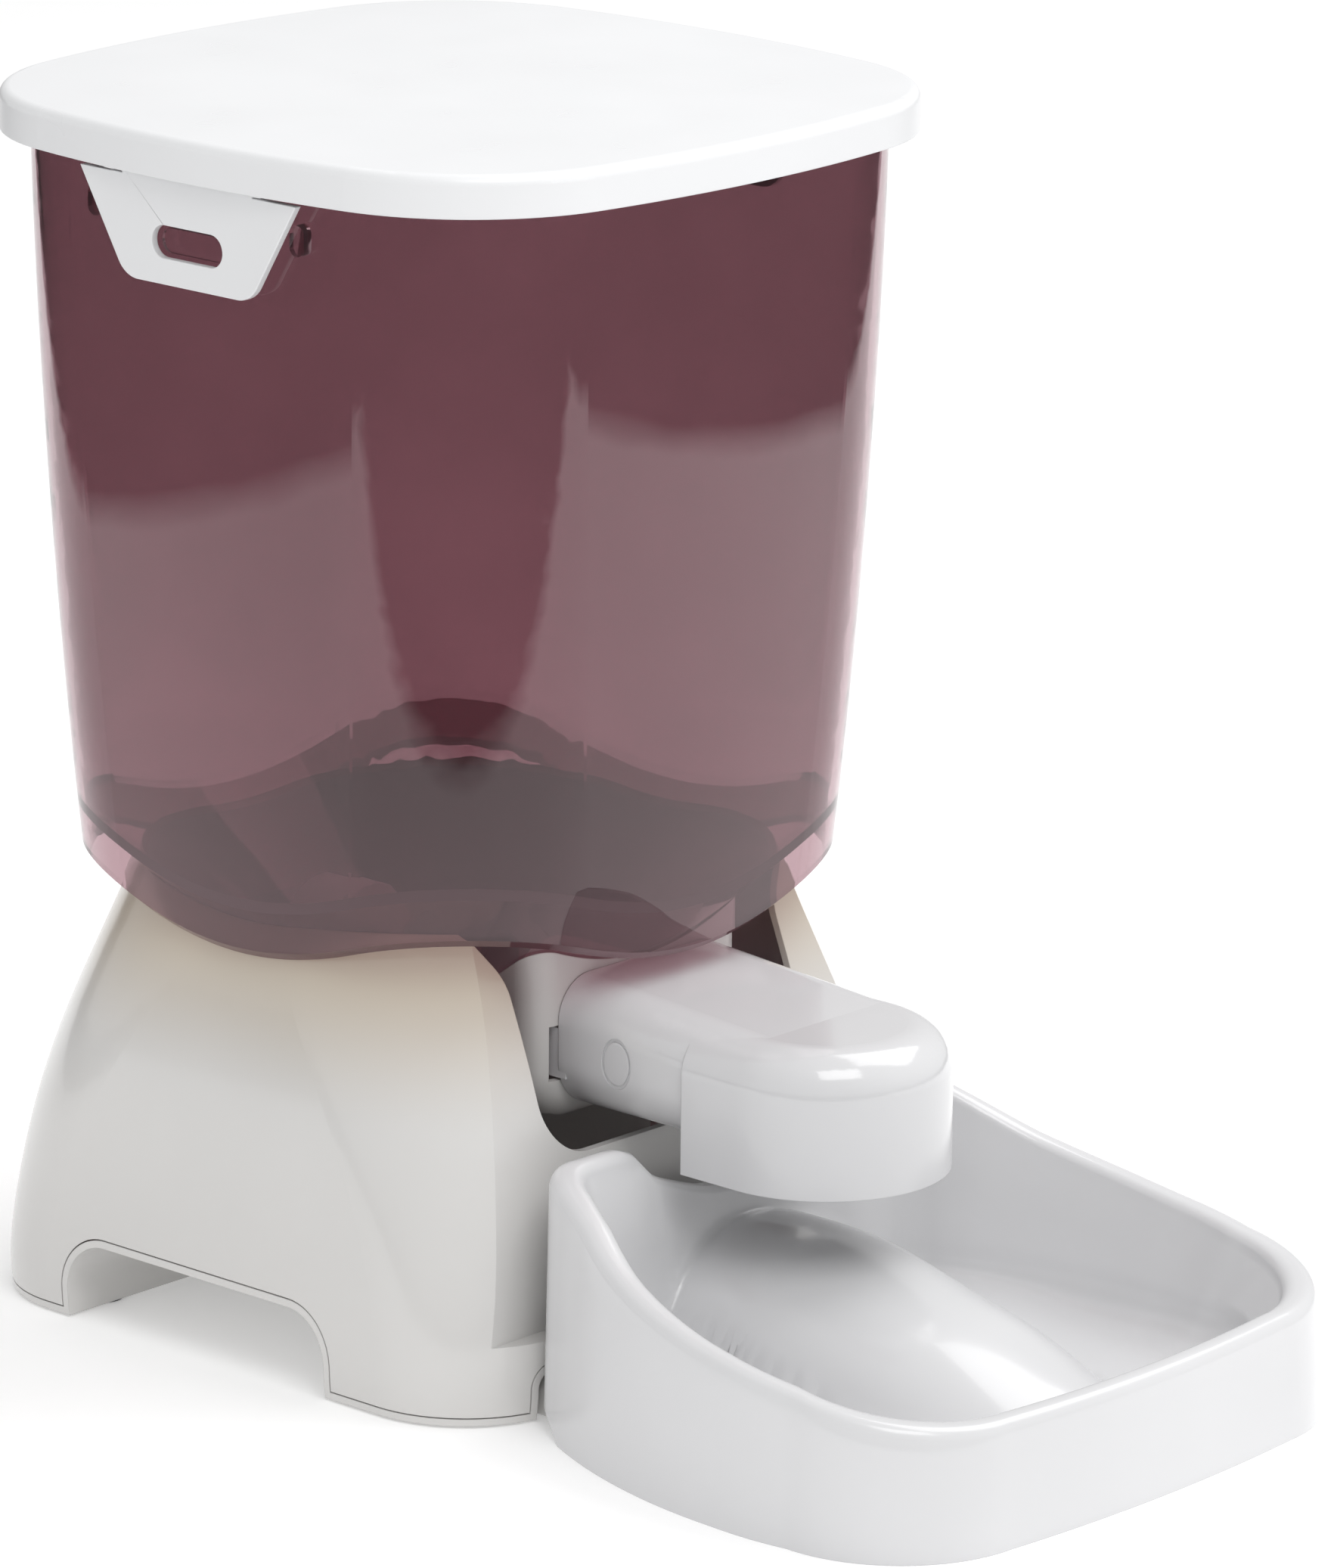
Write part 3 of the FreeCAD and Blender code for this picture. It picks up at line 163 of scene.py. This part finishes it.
def smoked(name, colour, roughness, painted_glow=0.0):
    """Clear tinted plastic with faint flow marks, and a painted glow: emission in the plastic's colour that
    stands in for light through it, stronger low down.
    """
    material, tree, shader = new_material(name)
    link = tree.links.new
    place = tree.nodes.new("ShaderNodeTexCoord").outputs["Object"]
    flow = node(tree, "TexNoise", Scale=FLOW_SCALE, Detail=2.0)
    link(place, flow.inputs["Vector"])
    shade = tree.nodes.new("ShaderNodeMix")
    shade.data_type = "RGBA"
    shade.inputs["A"].default_value = [c * 0.94 for c in colour] + [1.0]
    shade.inputs["B"].default_value = [c * 1.05 for c in colour] + [1.0]
    link(ranged(tree, flow.outputs["Fac"], 0.0, 1.0), shade.inputs["Factor"])
    link(shade.outputs["Result"], shader.inputs["Base Color"])
    link(ranged(tree, flow.outputs["Fac"], roughness * 0.7, roughness * 1.3), shader.inputs["Roughness"])
    shader.inputs["Transmission Weight"].default_value = 1.0
    shader.inputs["IOR"].default_value = PLASTIC_IOR
    let_through = node(tree, "BsdfTransparent", Color=[c ** 0.5 for c in colour] + [1.0])
    lit = tree.nodes.new("ShaderNodeMixShader")
    link(tree.nodes.new("ShaderNodeLightPath").outputs["Is Shadow Ray"], lit.inputs["Fac"])
    # painted glow: the plastic emits its own colour, more of it low down, standing in for light
    parts = tree.nodes.new("ShaderNodeSeparateXYZ")
    link(place, parts.inputs["Vector"])
    depth = node(tree, "MapRange", From_Min=PAINTED_GLOW_TOP, From_Max=PAINTED_GLOW_LOW, To_Min=painted_glow, To_Max=painted_glow * PAINTED_GLOW_GAIN)
    depth.interpolation_type = "SMOOTHSTEP"
    link(parts.outputs["Z"], depth.inputs["Value"])
    shader.inputs["Emission Color"].default_value = list(colour) + [1.0]
    link(depth.outputs["Result"], shader.inputs["Emission Strength"])
    link(shader.outputs["BSDF"], lit.inputs[1])
    link(let_through.outputs["BSDF"], lit.inputs[2])
    link(lit.outputs["Shader"], tree.nodes["Material Output"].inputs["Surface"])
    return material


MATERIALS = {
    # the base shell carries painted shade, darker and beige towards its top, just under the hopper
    "white_shell": moulded("white_shell", (0.67, 0.66, 0.645), 0.20, coat=0.35,
                           top_shade=((0.80, 0.71, 0.59), 0.080, 0.128)),
    "white_lid": moulded("white_lid", (0.79, 0.795, 0.805), 0.30),
    "white_chute": moulded("white_chute", (0.66, 0.66, 0.67), 0.16, coat=0.35),
    "white_bowl": moulded("white_bowl", (0.68, 0.68, 0.69), 0.22, coat=0.25),
    "grey_white": moulded("grey_white", (0.60, 0.59, 0.575), 0.34),
    # the hopper's smoked plastic carries a painted glow, stronger low down
    "smoke": smoked("smoke", (0.355, 0.222, 0.248), 0.010, painted_glow=0.022),
    "rubber": moulded("rubber", (0.03, 0.03, 0.03), 0.75, depth=0.0001),
    "bush": moulded("bush", (0.42, 0.38, 0.28), 0.45),
    "steel": moulded("steel", (0.56, 0.56, 0.57), 0.28, metallic=1.0),
    "cell_wrap": moulded("cell_wrap", (0.05, 0.08, 0.14), 0.30),
    "contact": moulded("contact", (0.70, 0.68, 0.62), 0.25, metallic=1.0),
    "board": moulded("board", (0.02, 0.12, 0.05), 0.35),
    "display": moulded("display", (0.22, 0.27, 0.20), 0.18),
    "clear": smoked("clear", (0.85, 0.88, 0.88), 0.03),
    "panel_grey": moulded("panel_grey", (0.10, 0.10, 0.11), 0.40),
    "button_grey": moulded("button_grey", (0.33, 0.33, 0.35), 0.55),
    "screw_plastic": moulded("screw_plastic", (0.08, 0.08, 0.09), 0.40),
    "gear_plastic": moulded("gear_plastic", (0.62, 0.60, 0.52), 0.40),
    "brass": moulded("brass", (0.60, 0.42, 0.17), 0.25, metallic=1.0),
}

for name, thing in NODES.items():
    thing.data.materials.clear()
    thing.data.materials.append(MATERIALS[SLOT_OF[name]])


# ---------------------------------------------------------------- softened edges

EDGE_WIDTHS = {"chute": 0.0012, "latch_left": 0.0007, "latch_right": 0.0007}
EDGE_SEGMENTS = 3
EDGE_TURN = 40               # degrees; gentler edges are left alone
WELD_WITHIN = 0.00001


def soften(thing, width):
    """Rounds the piece's hard edges, which a mould would leave with a small radius."""
    weld = thing.modifiers.new("weld", "WELD")
    weld.merge_threshold = WELD_WITHIN
    rounded = thing.modifiers.new("rounded", "BEVEL")
    rounded.width = width
    rounded.segments = EDGE_SEGMENTS
    rounded.limit_method = "ANGLE"
    rounded.angle_limit = math.radians(EDGE_TURN)
    smooth = thing.modifiers.new("normals", "WEIGHTED_NORMAL")
    smooth.keep_sharp = True


for name, width in EDGE_WIDTHS.items():
    soften(NODES[name], width)


# ---------------------------------------------------------------- bowl

HOPPER_AXIS_Y = 0.07885      # the frame's y on the hopper's axis; the bowl is drawn from that axis
RIM_BAND = 0.0085
RIM_EDGE = 0.0036
BOWL_LEAN = 0.005            # how far the wall leans in over BOWL_TALL
BOWL_TALL = 0.090
BOWL_BACK_LEAN = 0.0065
BOWL_MIDDLE = -0.188
BOWL_HALF_WIDTH = 0.106
BOWL_HALF_DEPTH = 0.085
DISH_INSET = 0.018
DISH_FILLET = 0.014
DISH_FLOOR = 0.010
DISH_UNDER = 0.0072
RIDGE_HALF = 0.042
RIDGE_TALL = 0.033
RIDGE_BLEND = 0.007
BACK_CUT_FROM = -0.127
DOCK_HALF = 0.076
DOCK_ROOM_TOP = 0.0136
BACK_HALF = 0.070            # the straight back of the outline
BACK_Y = -0.107
BACK_BLEND = 0.018           # over which the back's lean fades in
FOOT_INSET = 0.003
UNDER_INSET = 0.005
SHARP_TURN = 35.0            # degrees; the bowl's shading stays sharp above this
# how finely each stretch of the bowl is divided
ARC_STEPS = (10, 30, 10, 22)
FRONT_STEPS = 36
BACK_STEPS = 30
WALL_STEPS = 8
RIM_STEPS = 6
DISH_STEPS = 10
FLOOR_RINGS = 22
# what is cut away under the bowl's back for the dock, in y and z
DOCK_ROOM = ((-0.120, -0.001), (-0.080, -0.001), (-0.080, DOCK_ROOM_TOP), (-0.120, DOCK_ROOM_TOP))
HEEL = ((-0.080, -0.001), (-0.124, -0.001), (-0.100, 0.016), (-0.080, 0.016))
HEEL_HALF = 0.15
# rim height against y, rim height against x at the back, and the ridge's top against y
SIDE_RIM = ((-0.285, 0.0350), (-0.250, 0.0405), (-0.225, 0.0445), (-0.185, 0.0505), (-0.150, 0.0585),
            (-0.130, 0.0665), (-0.115, 0.0740), (-0.100, 0.0805), (-0.090, 0.0840))
BACK_RIM = ((0.0, 0.057), (0.012, 0.0585), (0.024, 0.0625), (0.036, 0.068), (0.045, 0.0765), (0.055, 0.081),
            (0.066, 0.0785), (0.080, 0.0725), (0.100, 0.066))
RIDGE_TOP = ((-0.262, 0.004), (-0.245, 0.015), (-0.230, 0.0235), (-0.205, 0.034), (-0.180, 0.0402),
             (-0.150, 0.0472), (-0.125, 0.0485), (-0.098, 0.047))
# the right half of the outline at floor level: straight back, then arcs given by start, middle and end
OUTLINE_ARCS = (((0.070, -0.107), (0.0786, -0.1092), (0.084, -0.116)),
                ((0.084, -0.116), (0.0986, -0.152), (0.1058, -0.198)),
                ((0.1058, -0.198), (0.106, -0.212), (0.1046, -0.225)),
                ((0.1046, -0.225), (0.0936, -0.256), (0.062, -0.2704)),
                ((0.062, -0.2704), (0.0, -0.2735), (-0.062, -0.2704)))


def smooth_table(rows, at):
    """Value at a place in a table of (place, value), by a Catmull-Rom curve."""
    rows = sorted(rows)
    at = min(max(at, rows[0][0]), rows[-1][0])
    i = next(k for k in range(len(rows) - 1) if at <= rows[k + 1][0])
    (x0, y0), (x1, y1) = rows[i], rows[i + 1]
    before = rows[max(i - 1, 0)]
    after = rows[min(i + 2, len(rows) - 1)]
    slope0 = (y1 - before[1]) / (x1 - before[0]) * (x1 - x0)
    slope1 = (after[1] - y0) / (after[0] - x0) * (x1 - x0)
    t = (at - x0) / (x1 - x0)
    return ((2 * t ** 3 - 3 * t ** 2 + 1) * y0 + (t ** 3 - 2 * t ** 2 + t) * slope0
            + (3 * t ** 2 - 2 * t ** 3) * y1 + (t ** 3 - t ** 2) * slope1)


def arc_points(start, middle, end, count):
    """Points along the arc through three plan points, without its last."""
    (ax, ay), (bx, by), (cx, cy) = start, middle, end
    d = 2 * (ax * (by - cy) + bx * (cy - ay) + cx * (ay - by))
    sa, sb, sc = ax * ax + ay * ay, bx * bx + by * by, cx * cx + cy * cy
    ox = (sa * (by - cy) + sb * (cy - ay) + sc * (ay - by)) / d
    oy = (sa * (cx - bx) + sb * (ax - cx) + sc * (bx - ax)) / d
    radius = math.hypot(ax - ox, ay - oy)
    first = math.atan2(ay - oy, ax - ox)
    sweep = math.remainder(math.atan2(cy - oy, cx - ox) - first, 2 * math.pi)
    turns = [first + sweep * k / count for k in range(count)]
    return [(ox + radius * math.cos(turn), oy + radius * math.sin(turn)) for turn in turns]


def bowl_plan():
    """Closed outline of the bowl at floor level, clockwise from the left end of its straight back."""
    half = []
    for arc, count in zip(OUTLINE_ARCS[:4], ARC_STEPS):
        half += arc_points(*arc, count)
    back = [(-BACK_HALF + 2 * BACK_HALF * k / BACK_STEPS, BACK_Y) for k in range(BACK_STEPS)]
    front = arc_points(*OUTLINE_ARCS[4], FRONT_STEPS) + [OUTLINE_ARCS[4][2]]
    return back + half + front + [(-x, y) for x, y in half[:0:-1]]


def rim_height(x, y):
    """Height of the rim at a point of the plan; the back's table is met at the rim's inner edge."""
    height = smooth_table(SIDE_RIM, y)
    if y > BACK_CUT_FROM:
        inner_share = 1.0 - (BOWL_LEAN + RIM_BAND) / BOWL_HALF_WIDTH
        height = min(height, smooth_table(BACK_RIM, abs(x) * inner_share))
    return height


def ridge_height(x, y):
    """Height of the ridge's rounded back at a point of the plan."""
    top = smooth_table(RIDGE_TOP, y)
    across = min(abs(x) / RIDGE_HALF, 1.0)
    return top - RIDGE_TALL + RIDGE_TALL * math.sqrt(1.0 - across ** 2)


def higher_of(a, b):
    """The higher of two heights, with a fillet where they meet."""
    near = max(RIDGE_BLEND - abs(a - b), 0.0) / RIDGE_BLEND
    return max(a, b) + near ** 2 * RIDGE_BLEND / 4


def bowl_profile(rim):
    """(inset, height, whether the ridge lifts it) from the outer foot over the rim to the dish's floor."""
    rows = []
    lean = BOWL_LEAN * rim / BOWL_TALL
    for k in range(WALL_STEPS + 1):
        z = (rim - RIM_EDGE) * k / WALL_STEPS
        rows.append((lean * z / rim, z, False))
    for k in range(1, RIM_STEPS + 1):
        turn = math.pi / 2 * k / RIM_STEPS
        inset = lean + RIM_EDGE * (1 - math.cos(turn))
        rows.append((inset, rim - RIM_EDGE * (1 - math.sin(turn)), False))
    inner = lean + RIM_BAND
    for k in range(RIM_STEPS):
        turn = math.pi / 2 * k / RIM_STEPS
        inset = inner - RIM_EDGE + RIM_EDGE * math.sin(turn)
        rows.append((inset, rim - RIM_EDGE * (1 - math.cos(turn)), False))
    top, low = rim - RIM_EDGE, DISH_FLOOR + DISH_FILLET
    for k in range(DISH_STEPS + 1):
        inset = inner + (DISH_INSET - inner) * k / DISH_STEPS
        rows.append((inset, top + (low - top) * k / DISH_STEPS, True))
    for k in range(1, DISH_STEPS + 1):
        turn = math.pi / 2 * k / DISH_STEPS
        inset = DISH_INSET + DISH_FILLET * (1 - math.cos(turn))
        rows.append((inset, low - DISH_FILLET * math.sin(turn), True))
    return rows


def bowl_mesh():
    """The bowl as a closed skin: rings from the outer foot to the dish's middle, and the underside."""
    build = bmesh.new()
    plan = bowl_plan()
    rings = []
    profiles = [bowl_profile(rim_height(x, y)) for x, y in plan]

    def placed(x, y, z, inset):
        px = x * (BOWL_HALF_WIDTH - inset) / BOWL_HALF_WIDTH
        py = BOWL_MIDDLE + (y - BOWL_MIDDLE) * (BOWL_HALF_DEPTH - inset) / BOWL_HALF_DEPTH
        backness = min(max((y - BACK_CUT_FROM) / BACK_BLEND, 0.0), 1.0)
        return px, py + BOWL_BACK_LEAN * backness * z / BOWL_TALL

    for row in range(len(profiles[0])):
        ring = []
        for (x, y), profile in zip(plan, profiles):
            inset, z, lifted = profile[row]
            px, py = placed(x, y, z, inset)
            if lifted:
                z = higher_of(z, ridge_height(px, py))
            ring.append(build.verts.new((px, py, z)))
        rings.append(ring)
    for share in [1.0 - k / FLOOR_RINGS for k in range(1, FLOOR_RINGS)]:
        ring = []
        for v in rings[len(profiles[0]) - 1]:
            px = v.co.x * share
            py = BOWL_MIDDLE + (v.co.y - BOWL_MIDDLE) * share
            ring.append(build.verts.new((px, py, higher_of(DISH_FLOOR, ridge_height(px, py)))))
        rings.append(ring)
    middle_height = higher_of(DISH_FLOOR, ridge_height(0.0, BOWL_MIDDLE))
    middle = build.verts.new((0.0, BOWL_MIDDLE, middle_height))
    under = []
    for inset, z in ((FOOT_INSET, 0.0), (UNDER_INSET, DISH_UNDER)):
        ring = []
        for x, y in plan:
            px, py = placed(x, y, 0.0, inset)
            ring.append(build.verts.new((px, py, z)))
        under.append(ring)
    under_middle = build.verts.new((0.0, BOWL_MIDDLE, DISH_UNDER))
    count = len(plan)

    def skin(lower, upper):
        for k in range(count):
            build.faces.new((lower[k], lower[(k + 1) % count], upper[(k + 1) % count], upper[k]))

    for lower, upper in zip(rings, rings[1:]):
        skin(lower, upper)
    skin(under[0], rings[0])
    skin(under[1], under[0])
    for k in range(count):
        build.faces.new((rings[-1][k], rings[-1][(k + 1) % count], middle))
        build.faces.new((under[1][(k + 1) % count], under[1][k], under_middle))
    bmesh.ops.recalc_face_normals(build, faces=build.faces)
    mesh = bpy.data.meshes.new("bowl_moulding")
    build.to_mesh(mesh)
    build.free()
    return mesh


def prism(name, points, x0, x1):
    """Straight prism along x of a polygon given by y and z."""
    build = bmesh.new()
    ends = [[build.verts.new((x, y, z)) for y, z in points] for x in (x0, x1)]
    build.faces.new(ends[0])
    build.faces.new(ends[1][::-1])
    for k in range(len(points)):
        j = (k + 1) % len(points)
        build.faces.new((ends[0][j], ends[0][k], ends[1][k], ends[1][j]))
    bmesh.ops.recalc_face_normals(build, faces=build.faces)
    mesh = bpy.data.meshes.new(name)
    build.to_mesh(mesh)
    build.free()
    made = bpy.data.objects.new(name, mesh)
    bpy.context.scene.collection.objects.link(made)
    return made


def carve(thing, cutters):
    """Cuts the cutters out of the piece's own mesh, and removes them."""
    for cutter in cutters:
        cut = thing.modifiers.new("cut", "BOOLEAN")
        cut.operation = "DIFFERENCE"
        cut.solver = "EXACT"
        cut.object = cutter
    bpy.context.view_layer.update()
    evaluated = thing.evaluated_get(bpy.context.evaluated_depsgraph_get())
    carved = bpy.data.meshes.new_from_object(evaluated)
    thing.modifiers.clear()
    thing.data = carved
    for cutter in cutters:
        bpy.data.objects.remove(cutter)


def shade(thing):
    """Smooth shading, kept sharp at edges that turn more than SHARP_TURN."""
    build = bmesh.new()
    build.from_mesh(thing.data)
    for polygon in build.faces:
        polygon.smooth = True
    for edge in build.edges:
        edge.smooth = len(edge.link_faces) == 2 and edge.calc_face_angle(0.0) < math.radians(SHARP_TURN)
    build.to_mesh(thing.data)
    build.free()


def add_bowl():
    piece = bpy.data.objects.new("bowl_moulding", bowl_mesh())
    bpy.context.scene.collection.objects.link(piece)
    dock_room = prism("dock_room", DOCK_ROOM, -DOCK_HALF, DOCK_HALF)
    heel = prism("heel", HEEL, -HEEL_HALF, HEEL_HALF)
    carve(piece, [dock_room, heel])
    piece.data.transform(Matrix.Translation((0.0, HOPPER_AXIS_Y, 0.0)))
    piece.data.materials.clear()
    piece.data.materials.append(MATERIALS["white_bowl"])
    shade(piece)
    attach(piece, "bowl")
    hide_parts("bowl")


add_bowl()


# ---------------------------------------------------------------- studio

def staged(thing):
    bpy.context.scene.collection.objects.link(thing)
    return thing


def floor_material():
    """Pale floor. Glossy rays see a painted reflection: a bright sheet, and beyond it a dim colour that
    stands in for a room.
    """
    material, tree, shader = new_material("pale_floor")
    link = tree.links.new
    shader.inputs["Base Color"].default_value = (FLOOR_WHITE, FLOOR_WHITE, FLOOR_WHITE, 1.0)
    shader.inputs["Roughness"].default_value = FLOOR_ROUGHNESS
    shader.inputs["Emission Color"].default_value = (1.0, 1.0, 1.0, 1.0)
    shader.inputs["Emission Strength"].default_value = FLOOR_GLOW
    place = tree.nodes.new("ShaderNodeNewGeometry").outputs["Position"]
    turn = node(tree, "VectorRotate", Angle=-math.radians(CAMERA_AZIMUTH))
    turn.rotation_type = "Z_AXIS"
    link(place, turn.inputs["Vector"])
    parts = tree.nodes.new("ShaderNodeSeparateXYZ")
    link(turn.outputs["Vector"], parts.inputs["Vector"])

    def maths(operation, a, b=0.0):
        made = tree.nodes.new("ShaderNodeMath")
        made.operation = operation
        for socket, value in zip(made.inputs, (a, b)):
            if isinstance(value, float):
                socket.default_value = value
            else:
                link(value, socket)
        return made.outputs[0]

    def beyond(value, limit):
        spread = node(tree, "MapRange", From_Min=limit - SHEET_BLEND, From_Max=limit + SHEET_BLEND)
        link(value, spread.inputs["Value"])
        return spread.outputs["Result"]

    across = beyond(maths("ABSOLUTE", parts.outputs["X"]), SHEET_HALF_WIDTH)
    towards = beyond(maths("MULTIPLY", parts.outputs["Y"], -1.0), SHEET_FRONT)
    outside = maths("MAXIMUM", across, towards)
    # painted reflection: beyond the sheet, glossy rays see the floor dim
    seen_in_gloss = tree.nodes.new("ShaderNodeLightPath").outputs["Is Glossy Ray"]
    dim = node(tree, "BsdfDiffuse", Color=list(ROOM_REFLECTION_PAINT) + [1.0])
    mix = tree.nodes.new("ShaderNodeMixShader")
    link(maths("MULTIPLY", outside, seen_in_gloss), mix.inputs["Fac"])
    link(shader.outputs["BSDF"], mix.inputs[1])
    link(dim.outputs["BSDF"], mix.inputs[2])
    link(mix.outputs["Shader"], tree.nodes["Material Output"].inputs["Surface"])
    return material


def add_floor():
    mesh = bpy.data.meshes.new("floor")
    f = FLOOR_HALF
    mesh.from_pydata([(-f, -f, 0), (f, -f, 0), (f, f, 0), (-f, f, 0)], [], [(0, 1, 2, 3)])
    mesh.materials.append(floor_material())
    staged(bpy.data.objects.new("floor", mesh))


def add_lamp(name, place, target, size, watts):
    data = bpy.data.lights.new(name, "AREA")
    data.shape = "RECTANGLE"
    data.size, data.size_y = size
    data.energy = watts
    lamp = bpy.data.objects.new(name, data)
    bpy.context.scene.collection.objects.link(lamp)
    away = Vector(target) - Vector(place)
    lamp.matrix_world = Matrix.Translation(place) @ away.to_track_quat("-Z", "Y").to_matrix().to_4x4()


def add_world():
    world = bpy.data.worlds.new("studio")
    world.use_nodes = True
    background = world.node_tree.nodes["Background"]
    background.inputs["Color"].default_value = (1.0, 1.0, 1.0, 1.0)
    background.inputs["Strength"].default_value = WORLD_STRENGTH
    bpy.context.scene.world = world


def add_camera():
    azimuth, pitch, roll = (math.radians(a) for a in (CAMERA_AZIMUTH, CAMERA_PITCH, CAMERA_ROLL))
    level = math.cos(pitch)
    back = Vector((math.sin(azimuth) * level, -math.cos(azimuth) * level, math.sin(pitch)))
    right = (-back).cross(Vector((0, 0, 1))).normalized()
    up = right.cross(-back)
    x = math.cos(roll) * right + math.sin(roll) * up
    y = -math.sin(roll) * right + math.cos(roll) * up
    data = bpy.data.cameras.new("camera")
    data.sensor_width = SENSOR
    data.lens = LENS
    data.clip_end = CLIP_END
    camera = bpy.data.objects.new("camera", data)
    bpy.context.scene.collection.objects.link(camera)
    camera.matrix_world = Matrix.Translation(CAMERA_AT) @ Matrix((x, y, back)).transposed().to_4x4()
    bpy.context.scene.camera = camera


add_floor()
add_world()
add_camera()
bpy.context.scene.view_settings.view_transform = "Standard"
add_lamp("key", (1.2, -0.5, 2.1), (0, -0.05, 0.15), (1.7, 1.7), 30.0)
add_lamp("fill", (-0.7, -1.3, 2.0), (0, 0, 0.15), (1.3, 1.0), 17.0)
